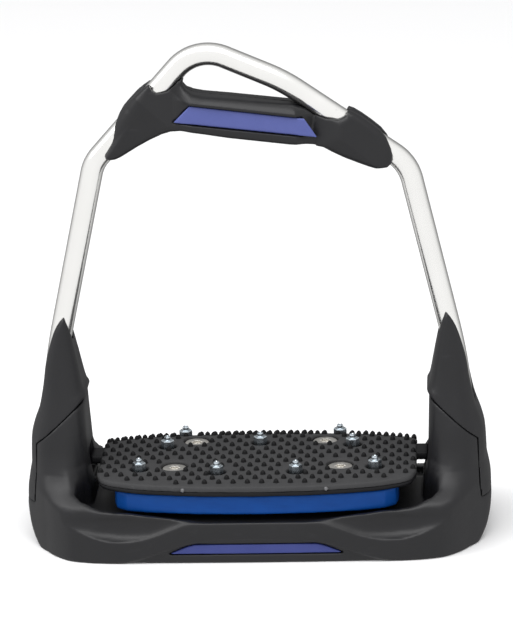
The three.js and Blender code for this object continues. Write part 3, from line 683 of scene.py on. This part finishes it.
def frontFaces(s, block):
    # front and rear: the plan outline, hollowed above one crease line and set back below another
    across = np.abs(block.lines[0])[:, None]
    height = block.lines[2][None, :]
    scoopLine = curveThrough(s["scoopLine"], 8)
    panelLine = curveThrough(s["panelLine"], 8)
    above = height - tableAt(scoopLine, across)
    below = tableAt(panelLine, across) - height
    scoop = tableAt(s["scoopDepth"], across) * (1 - np.exp(-np.maximum(above, 0) / s["scoopLip"]))
    scoop = scoop * tableAt(s["scoopFade"], height)
    panel = s["panelDepth"] * np.clip(below / s["panelLip"], 0, 1)
    return block.outlineXY(planOutline(s)) + (scoop + panel)[:, None, :]


def badgePocket(s, block, grow):
    face = block.outlineXZ(closedHalf(s["badge"])) - grow
    plan = block.outlineXY(planOutline(s))
    return face, plan


def buildBase(s):
    block = Block(*s["baseBox"], s["step"])
    x, y, z = np.abs(block.x), block.y, block.z
    shape = frameBlank(s, block)
    shape = smoothMax(shape, -block.outlineXZ(s["seam"], mirror=True), s["seamRound"])
    sides = np.maximum(x - s["innerFace"] + s["rearInset"], seatHeight(s, y) - z)
    shape = smoothMax(shape, -np.maximum(sides, s["slopeStart"] - y), s["rearRound"])
    hollow = block.outlineXY(closedHalf(s["seatHalf"]))
    seat = np.maximum(hollow, seatHeight(s, y) - s["seatDepth"] - z)
    shape = smoothMax(shape, -seat, tableAt(s["seatRound"], z))
    lowRim = np.maximum(y - s["rimBack"], tableAt(s["rimTop"], x) - z)
    shape = smoothMax(shape, -lowRim, s["softRound"])
    inner, outer = s["lugGroove"]["x"]
    groove = np.maximum(inner - x, x - outer)
    for axis, at in (("y", y), ("z", z)):
        middle, half = s["lugGroove"][axis]
        groove = np.maximum(groove, np.abs(at - middle) - half)
    shape = smoothMax(shape, -groove, s["softRound"])
    face, plan = badgePocket(s, block, s["badgeFit"])
    pocket = np.maximum(face, -(plan + s["badgeSet"] + s["badgeThick"] + s["badgeFit"]))
    shape = smoothMax(shape, -pocket, s["badgeFit"])
    for screwX, screwY in s["screws"]:
        bore = np.hypot(block.x - screwX, y - screwY) - s["boreRadius"]
        shape = smoothMax(shape, -np.maximum(bore, z - s["boreDepth"]), s["boreRound"])
    shape = np.maximum(shape, -rodChannel(block, s["channelOpen"]))
    base = fieldObject("frameMoulding", block, shape, charcoal)
    settle(base, "frame", "charcoal_plastic", "base_frame")


def buildCover(s, name, node, side):
    block = Block(*s["coverBox"], s["coverStep"])
    shape = frameBlank(s, block)
    shape = smoothMax(shape, block.outlineXZ(s["seam"]) + s["gap"], s["seamRound"])
    shape = smoothMax(shape, -rodChannel(block, s["channelOpen"]), s["footRound"])
    verts, faces = fieldSurface(block, shape)
    if side < 0:
        verts = verts * np.array([-1, 1, 1])
        faces = faces[:, ::-1]
    cover = meshObject(name, verts, faces, charcoal)
    settle(cover, "frame", "charcoal_plastic", node)


def buildBaseBadge(s, name, node, side):
    low, high = ((-32, -39.4, 2.8), (32, -33, 7.6)) if side < 0 else ((-32, 33, 2.8), (32, 39.4, 7.6))
    block = Block(low, high, s["badgeStep"])
    face, plan = badgePocket(s, block, 0.0)
    shape = smoothMax(face, plan + s["badgeSet"], s["badgeRound"])
    shape = np.maximum(shape, -(plan + s["badgeSet"] + s["badgeThick"]))
    badge = fieldObject(name, block, shape, badgeBlue)
    settle(badge, "frame", "badge_blue", node)


buildBase(frameSet)
buildCover(frameSet, "leftCover", "left_upright_cover", -1)
buildCover(frameSet, "rightCover", "right_upright_cover", 1)
buildBaseBadge(frameSet, "frontBaseInlay", "front_base_badge", -1)
buildBaseBadge(frameSet, "rearBaseInlay", "rear_base_badge", 1)
print("frame built")


# eye cover: two halves clasped round the rod under its top bend
eyeSet = {
    "step": 0.36, "depth": 8.4, "fit": 0.05,
    "outline": [(-34.4, 167.2), (-36.8, 165.6), (-38.9, 164.0), (-40.9, 162.1), (-42.8, 160.3), (-44.2, 158.7),
                (-45.8, 156.1), (-47.5, 152.3), (-48.7, 148.3), (-50.4, 144.2), (-51.4, 141.8), (-50.9, 140.5),
                (-49.4, 140.1), (-47.4, 140.4), (-45.2, 141.4), (-43.3, 142.6), (-39.1, 145.2), (-34.8, 147.6),
                (-30.3, 149.7), (-27.2, 150.6), (-23.7, 150.7), (-15.7, 149.5), (-6.7, 148.0), (14.4, 145.3),
                (19.2, 144.9), (23.4, 144.4), (26.6, 143.5), (29.4, 141.9), (33.5, 139.9), (38.6, 137.9),
                (42.5, 136.5), (45.0, 135.8), (48.9, 136.1), (50.6, 137.5), (51.0, 140.0), (50.4, 142.6),
                (48.9, 146.0), (46.9, 148.7), (43.9, 151.3), (40.3, 154.0), (37.5, 155.8), (35.5, 156.5),
                (34.7, 155.1), (32.0, 153.8), (27.6, 153.9), (24.0, 155.2), (20.0, 157.6), (15.5, 159.4),
                (-6.5, 162.0), (-15.5, 162.9), (-19.3, 163.7), (-21.6, 165.0), (-22.9, 166.9), (-22.2, 169.4),
                (-22.9, 169.8), (-25.5, 166.7), (-28.4, 164.7), (-32.0, 164.3), (-33.6, 165.4)],
    # a line on the face: a point on it (x, z) and the direction across it
    "leftRim": (-32.3, 164.2, 0.672, 0.741), "rightRim": (30.0, 154.5, -0.817, 0.576),
    "rimDepth": 5.3, "rimFlare": 0.45, "earDepth": 3.4, "leftMost": 7.8, "rightMost": 9,
    "leftTaper": 0.07, "rightTaper": 0.05, "taperFrom": 9, "leftEnd": 20, "rightEnd": 17, "endBlend": 6,
    "rimEnd": 24, "rimFar": 9, "rimSoften": 0.55, "ridgeRound": 0.5,
    "ridge": (33.9, 146.2, 0.625, 0.78), "ridgeDepth": 8.2, "ridgeUpper": 0.27, "ridgeLower": 0.30,
    "outerEdge": (-45.0, 150.0, -0.741, 0.672), "outerRound": 6.5, "round": 2.4, "rimRound": 0.7,
    "bevelLine": (158.5, 0.131), "bevel": 0.75, "seamGroove": (1.6, 0.45), "seamRound": 0.3, "halfGap": 0.1,
    "badge": [(-20.2, 160), (20.1, 154.7), (24.5, 147.9), (-26.1, 154.1)], "badgeSet": 0.9,
    "badgeThick": 1.1, "badgeFit": 0.3, "badgeStep": 0.3, "badgeRound": 0.5, "pocketRound": 0.35,
}


def alongFrom(place, block):
    # distance in the face from a point along a direction
    return (block.x - place[0]) * place[2] + (block.z - place[1]) * place[3]


def eyeDepth(s, block):
    leftRim, rightRim = -alongFrom(s["leftRim"], block), -alongFrom(s["rightRim"], block)
    left = np.clip(s["rimDepth"] + s["rimFlare"] * leftRim, s["earDepth"], s["leftMost"])
    left = left - s["leftTaper"] * np.maximum(leftRim - s["taperFrom"], 0)
    right = np.clip(s["rimDepth"] + s["rimFlare"] * rightRim, s["earDepth"], s["rightMost"])
    right = right - s["rightTaper"] * np.maximum(rightRim - s["taperFrom"], 0)
    height = alongFrom(s["ridge"], block)
    ridge = s["ridgeDepth"] - np.where(height > 0, s["ridgeUpper"] * height, -s["ridgeLower"] * height)
    right = smoothMin(right, ridge, s["ridgeRound"])
    bevelHeight, bevelLean = s["bevelLine"]
    middle = s["depth"] - s["bevel"] * np.maximum(block.z - bevelHeight + bevelLean * block.x, 0)
    toLeft = np.clip((-block.x - s["leftEnd"]) / s["endBlend"], 0, 1)
    toRight = np.clip((block.x - s["rightEnd"]) / s["endBlend"], 0, 1)
    depth = middle * (1 - toLeft) * (1 - toRight) + left * toLeft + right * toRight
    nearRight = np.where(block.x > s["rimEnd"], rightRim, s["rimFar"])
    return depth, np.where(block.x < -s["rimEnd"], leftRim, nearRight)


def eyeField(s, block, side):
    outline = block.outlineXZ(s["outline"])
    depth, nearRim = eyeDepth(s, block)
    outer = np.clip(alongFrom(s["outerEdge"], block) + 2, 0, 2) / 2 * (block.x < 0)
    rounding = s["round"] + (s["outerRound"] - s["round"]) * outer
    atRim = np.maximum(s["rimRound"], s["rimRound"] + s["rimSoften"] * nearRim)
    rounding = np.minimum(rounding, atRim)
    shape = smoothMax(outline, np.abs(block.y) - depth, rounding)
    tube, outward = rodDistance(block)
    width, deep = s["seamGroove"]
    groove = np.maximum(np.abs(block.y) - width, -outline - deep)
    groove = np.maximum(groove, np.where(outward > 0, -1.0, 1.0))
    shape = smoothMax(shape, -groove, s["seamRound"])
    shape = np.maximum(shape, s["halfGap"] - block.y * side)
    shape = smoothMax(shape, rodSet["radius"] + s["fit"] - tube, s["seamRound"])
    badge = block.outlineXZ(s["badge"])
    floor = s["depth"] - s["badgeSet"] - s["badgeThick"] - s["badgeFit"]
    pocket = np.maximum(badge - s["badgeFit"], floor - block.y * side)
    return smoothMax(shape, -pocket, s["pocketRound"])


def buildEyeHalf(s, name, node, side):
    low, high = ((-53, -9, 135), (53, 0.5, 171)) if side < 0 else ((-53, -0.5, 135), (53, 9, 171))
    block = Block(low, high, s["step"])
    half = fieldObject(name, block, eyeField(s, block, side), charcoal)
    settle(half, "frame", "charcoal_plastic", node)


def buildEyeBadge(s, name, node, side):
    outer = (s["depth"] - s["badgeSet"]) * side
    inner = outer - s["badgeThick"] * side
    low, high = min(outer, inner), max(outer, inner)
    block = Block((-28, low, 146), (26, high, 162), s["badgeStep"])
    slab = np.maximum(low - block.y, block.y - high)
    shape = smoothMax(block.outlineXZ(s["badge"]), slab, s["badgeRound"])
    # the eye badge takes the lighter copy of the badge blue, which is painted light
    badge = fieldObject(name, block, shape, eyeBadgeLitBlue)
    settle(badge, "frame", "badge_blue", node)


buildEyeHalf(eyeSet, "eyeCoverFront", "eye_cover_front", -1)
buildEyeHalf(eyeSet, "eyeCoverRear", "eye_cover_rear", 1)
buildEyeBadge(eyeSet, "frontEyeInlay", "front_eye_badge", -1)
buildEyeBadge(eyeSet, "rearEyeInlay", "rear_eye_badge", 1)
print("eye cover built")


# tread: pad, plate, grip with its spikes, studs and screws
treadSet = {
    "top": 28.5, "grip": 1.8, "gap": 0.3, "plate": 1.9, "crest": 19.0, "slope": 17.5, "step": 0.55,
    "crestSweep": [(0, 0), (20, 0.4), (40, 2.0), (46, 3.4), (51, 4.8), (55, 6.2), (59, 8.5)],
    "nibs": [(-25.5, -36.9, 27.2), (25.5, -36.9, 27.2)],
    "plateBox": ((-62, -39, 17), (62, 38.2, 28.6)), "gripBox": ((-58, -39, 20), (58, 38.2, 29)),
    "plateTopRound": 0.4, "plateFootRound": 1.6, "lugRound": 0.8, "edgeRound": 0.3,
    "gripRound": 1.0, "gripLap": 0.05, "gripFootRound": 0.15, "holeRound": 0.5,
    "half": [(0, -38.2), (20, -37.4), (39, -34.6), (49, -31.4), (55, -27.6), (57.4, -21), (57.4, 21),
             (55, 27.4), (49, 31), (39, 34.2), (20, 36.8), (0, 37.4)],
    "lugStart": 56.8, "lugEnd": 61.4, "lugMiddle": 3.25, "lugHalf": 5.25, "lugBottom": 25.2, "lugTop": 28.2,
    "studs": [(-14.2, -21.1), (14.2, -21.1), (-42.5, -16.9), (42.5, -16.9), (-33.9, 7.6), (33.9, 7.6),
              (0, 10.7), (-28.7, 28), (28.7, 28)],
    "screws": [(-29.9, -14.1), (29.9, -14.1), (-23.6, 14.1), (23.6, 14.1)],
    "studHole": 3.45, "screwHole": 5.0, "plateHole": 2.2,
    # the ring sunk into the plate round each stud
    "ringInner": 2.4, "ringFloor": 0.7, "ringRound": 0.2,
    # the spikes stand in rows, in a field with bowed front and rear edges
    "pitchX": 5.1, "pitchY": 4.5, "rowShift": -1.8, "rows": 8, "columns": 12, "fieldHalf": 56.3,
    "fieldFront": -36.1, "fieldRear": 34.9, "fieldBow": 0.0029, "studClear": 4.75, "screwClear": 6.1,
}


def heelDrop(s, x, y):
    crest = s["crest"] - np.interp(np.abs(x), *np.array(s["crestSweep"]).T)
    return np.maximum(y - crest, 0) * math.tan(math.radians(s["slope"]))


def treadOutline(s):
    points = np.array(s["half"], float)
    front = curveThrough(points[:6], 5)
    rear = curveThrough(points[6:], 5)
    return closedHalf(np.vstack([front, rear]))


def cutHoles(shape, block, places, radius, rounding):
    for holeX, holeY in places:
        bore = np.hypot(block.x - holeX, block.y - holeY) - radius
        shape = smoothMax(shape, -bore, rounding)
    return shape


def buildPlate(s):
    bottom = s["top"] - s["grip"] - s["gap"] - s["plate"]
    block = Block(*s["plateBox"], s["step"])
    level = block.z + heelDrop(s, block.x, block.y)
    outline = block.outlineXY(treadOutline(s))
    shape = smoothMax(outline, level - bottom - s["plate"], s["plateTopRound"])
    shape = smoothMax(shape, bottom - level, s["plateFootRound"])
    along = np.maximum(np.abs(block.x) - s["lugEnd"], s["lugStart"] - np.abs(block.x))
    lug = np.maximum(along, np.abs(block.y - s["lugMiddle"]) - s["lugHalf"])
    lug = smoothMax(lug, np.maximum(level - s["lugTop"], s["lugBottom"] - level), s["lugRound"])
    shape = smoothMin(shape, lug, s["edgeRound"])
    shape = cutHoles(shape, block, s["studs"] + s["screws"], s["plateHole"], s["edgeRound"])
    for studX, studY in s["studs"]:
        radius = np.hypot(block.x - studX, block.y - studY)
        ring = np.maximum(radius - s["studHole"], s["ringInner"] - radius)
        ring = np.maximum(ring, bottom + s["ringFloor"] - level)
        shape = smoothMax(shape, -ring, s["ringRound"])
    plate = fieldObject("treadPlate", block, shape, platePlastic)
    settle(plate, "tread", "plate_plastic", "tread_plate")


# a spike: radius as a part of the foot's, and height from the foot or down from the tip
spikeSet = {"radius": 1.06, "height": 1.5, "sides": 12, "root": -0.3,
            "lower": [(1.0, 0.0), (0.9, 0.14), (0.86, 0.5), (0.74, 0.95)],
            "tip": [(0.56, 0.38), (0.36, 0.14), (0.17, 0.03)]}


def spikeShape(s):
    base, tall, sides = s["radius"], s["height"], s["sides"]
    profile = [(base, s["root"])] + [(base * part, height) for part, height in s["lower"]]
    profile += [(base * part, tall - down) for part, down in s["tip"]]
    angles = np.linspace(0, 2 * math.pi, sides, endpoint=False)
    verts = [(r * math.cos(a), r * math.sin(a), h) for r, h in profile for a in angles]
    verts += [(0, 0, tall), (0, 0, s["root"])]
    top, foot = len(verts) - 2, len(verts) - 1
    faces = bandFaces(len(profile), sides)
    last = (len(profile) - 1) * sides
    faces += [(last + i, last + (i + 1) % sides, top) for i in range(sides)]
    faces += [((i + 1) % sides, i, foot) for i in range(sides)]
    return np.array(verts), faces


def spikePlaces(s):
    def clear(x, y, places, reach):
        return all(math.hypot(x - px, y - py) > reach for px, py in places)

    places = []
    for row in range(-s["rows"], s["rows"] + 1):
        y = row * s["pitchY"] + s["rowShift"]
        for column in range(-s["columns"], s["columns"] + 1):
            x = (column + (0.5 if row % 2 else 0)) * s["pitchX"]
            bow = s["fieldBow"] * x * x
            inside = abs(x) < s["fieldHalf"] and s["fieldFront"] + bow < y < s["fieldRear"] - bow
            inside = inside and clear(x, y, s["studs"], s["studClear"])
            if inside and clear(x, y, s["screws"], s["screwClear"]):
                places.append((x, y))
    return places


# a nib is a small ball: its first ring lies at this angle from the pole
nibSet = {"radius": 0.75, "rings": 5, "sides": 10, "cap": 0.5}


def nibShape(s):
    count, sides = s["rings"], s["sides"]
    rings = [(math.sin(a), math.cos(a)) for a in np.linspace(s["cap"], math.pi - s["cap"], count)]
    turns = np.arange(sides) * 2 * math.pi / sides
    verts = [(r * math.cos(a), r * math.sin(a), h) for r, h in rings for a in turns]
    verts = s["radius"] * np.array([*verts, (0, 0, 1), (0, 0, -1)])
    last, top, foot = (count - 1) * sides, count * sides, count * sides + 1
    faces = bandFaces(count, sides, climbFirst=True)
    faces += [(i, (i + 1) % sides, top) for i in range(sides)]
    faces += [(last + (i + 1) % sides, last + i, foot) for i in range(sides)]
    return verts, faces


def buildGrip(s):
    bottom = s["top"] - s["grip"]
    block = Block(*s["gripBox"], s["step"])
    level = block.z + heelDrop(s, block.x, block.y)
    outline = block.outlineXY(treadOutline(s))
    shape = smoothMax(outline, level - s["top"], s["gripRound"])
    shape = smoothMax(shape, bottom - s["gap"] + s["gripLap"] - level, s["gripFootRound"])
    shape = cutHoles(shape, block, s["studs"], s["studHole"], s["holeRound"])
    shape = cutHoles(shape, block, s["screws"], s["screwHole"], s["holeRound"])
    verts, faces = fieldSurface(block, shape)
    allVerts, allFaces = [verts], [tuple(f) for f in faces]
    count = len(verts)
    spikeVerts, spikeFaces = spikeShape(spikeSet)
    nibVerts, nibFaces = nibShape(nibSet)
    for x, y in spikePlaces(s):
        allVerts.append(spikeVerts + np.array([x, y, s["top"] - float(heelDrop(s, x, y))]))
        allFaces += [tuple(count + i for i in f) for f in spikeFaces]
        count += len(spikeVerts)
    for x, y, z in s["nibs"]:
        allVerts.append(nibVerts + np.array([x, y, z]))
        allFaces += [tuple(count + i for i in f) for f in nibFaces]
        count += len(nibVerts)
    grip = meshObject("gripLayer", np.vstack(allVerts), allFaces, gripRubber)
    # the spikes take the darker copy of the rubber, which is painted shade
    grip.data.materials.append(spikeShadedRubber)
    # the nibs take the light grey, which is a painted highlight
    grip.data.materials.append(nibHighlightPlastic)
    slots = np.zeros(len(grip.data.polygons), int)
    slots[len(faces):] = 1
    slots[-len(s["nibs"]) * len(nibFaces):] = 2
    grip.data.polygons.foreach_set("material_index", slots)
    settle(grip, "tread", "grip_rubber", "grip_pad")


padSet = {"box": ((-52, -37, 6), (52, 31, 25)), "step": 0.6, "under": 0.3, "drop": 0.5, "round": 0.8}


def buildPad(s, tread, base):
    top = tread["top"] - tread["grip"] - tread["gap"] - tread["plate"] - s["under"]
    block = Block(*s["box"], s["step"])
    outline = block.outlineXY(closedHalf(base["padHalf"]))
    shape = smoothMax(outline, block.z + heelDrop(tread, block.x, block.y) - top, s["round"])
    under = seatHeight(base, block.y) - s["drop"] - block.z
    shape = smoothMax(shape, under, s["round"])
    pad = fieldObject("shockPad", block, shape, blueRubber)
    settle(pad, "cushion", "blue_rubber", "shock_pad")
    return pad


def turnedRings(profile, sides):
    turns = np.arange(sides) * 2 * math.pi / sides
    verts = [(r * math.cos(a), r * math.sin(a), height) for r, height in profile for a in turns]
    faces = bandFaces(len(profile), sides)
    faces.append(list(range(sides))[::-1])
    faces.append([(len(profile) - 1) * sides + i for i in range(sides)])
    return np.array(verts), faces


# a stud: the stem is measured from its seat in the plate, the head from the top of the tread
studSet = {"sides": 36, "seatLift": 0.1, "hexRings": range(3, 7),
           "stem": [(1.5, -1.6), (1.5, 0), (2.0, 0), (2.4, 0.3)],
           "head": [(2.4, 2.1), (2.2, 2.4), (1.5, 2.5), (1.2, 2.6), (1.15, 3.4), (0.95, 3.8), (0.5, 3.9),
                    (0.3, 3.7)]}


def buildStuds(s, tread):
    seat = -(tread["grip"] - s["seatLift"])
    sides = s["sides"]
    profile = [(radius, seat + height) for radius, height in s["stem"]] + s["head"]
    for index, (x, y) in enumerate(tread["studs"]):
        verts, faces = turnedRings(profile, sides)
        angles = np.arctan2(verts[:, 1], verts[:, 0]) % (math.pi / 3)
        for ring in s["hexRings"]:
            part = slice(ring * sides, ring * sides + sides)
            scale = np.cos(math.pi / 6) / np.cos(angles[part] - math.pi / 6)
            verts[part, :2] *= scale[:, None]
        verts = verts + np.array([x, y, tread["top"] - float(heelDrop(tread, x, y))])
        stud = meshObject(f"stud{index + 1}", verts, faces, zincSteel, smooth=False)
        settle(stud, "tread", "zinc_steel", f"stud_{index + 1}")


# a disc screw: heights from its seat, and a six-lobed socket in the rings named
discSet = {"sides": 48, "lobes": 6, "lobeSize": 0.16, "lobedRings": (7, 8, 9),
           "profile": [(2.0, -3.6), (2.0, 0), (4.3, 0), (4.5, 0.2), (4.5, 0.65), (4.2, 0.92), (3.6, 1.0),
                       (1.9, 1.0), (1.7, 0.9), (1.6, 0.1), (0.5, 0)]}


def buildTreadScrews(s, tread):
    seat = tread["top"] - tread["grip"]
    sides = s["sides"]
    profile = [(radius, seat + height) for radius, height in s["profile"]]
    for index, (x, y) in enumerate(tread["screws"]):
        verts, faces = turnedRings(profile, sides)
        lobes = 1 + s["lobeSize"] * np.cos(s["lobes"] * np.arctan2(verts[:, 1], verts[:, 0]))
        for ring in s["lobedRings"]:
            part = slice(ring * sides, ring * sides + sides)
            verts[part, :2] *= lobes[part][:, None]
        verts[:, 0] += x
        verts[:, 1] += y
        screw = meshObject(f"discScrew{index + 1}", verts, faces, satinSteel, smooth=False)
        settle(screw, "tread", "satin_steel", f"tread_screw_{index + 1}")


coverScrewSet = {"y": 13.0, "z": 20.5, "sides": 24,
                 "profile": [(2.2, 60.9), (2.4, 61.1), (2.4, 62.6), (1.25, 62.6), (1.25, 78.0)]}


def buildCoverScrews(s):
    # turned along x, with the head towards the tread
    rings, faces = turnedRings(s["profile"], s["sides"])
    for side, word in ((-1, "left"), (1, "right")):
        for y, end in ((-s["y"], "front"), (s["y"], "rear")):
            verts = np.stack([side * rings[:, 2], rings[:, 0] + y, rings[:, 1] + s["z"]], axis=1)
            turned = faces if side > 0 else [list(f)[::-1] for f in faces]
            name = f"{word}CoverScrew{end.capitalize()}"
            screw = meshObject(name, verts, turned, zincSteel, smooth=False)
            settle(screw, "frame", "zinc_steel", f"{word}_cover_screw_{end}")


buildCoverScrews(coverScrewSet)
buildPlate(treadSet)
buildGrip(treadSet)
shockPad = buildPad(padSet, treadSet, frameSet)
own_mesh(shockPad)
buildStuds(studSet, treadSet)
buildTreadScrews(discSet, treadSet)
print("tread built")

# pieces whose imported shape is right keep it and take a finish
carried = {"pin": zincSteel, "screw": zincSteel, "plate": zincSteel}
for nodeName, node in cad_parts.items():
    for word, material in carried.items():
        if word in nodeName:
            node.data.materials.clear()
            node.data.materials.append(material)
            break
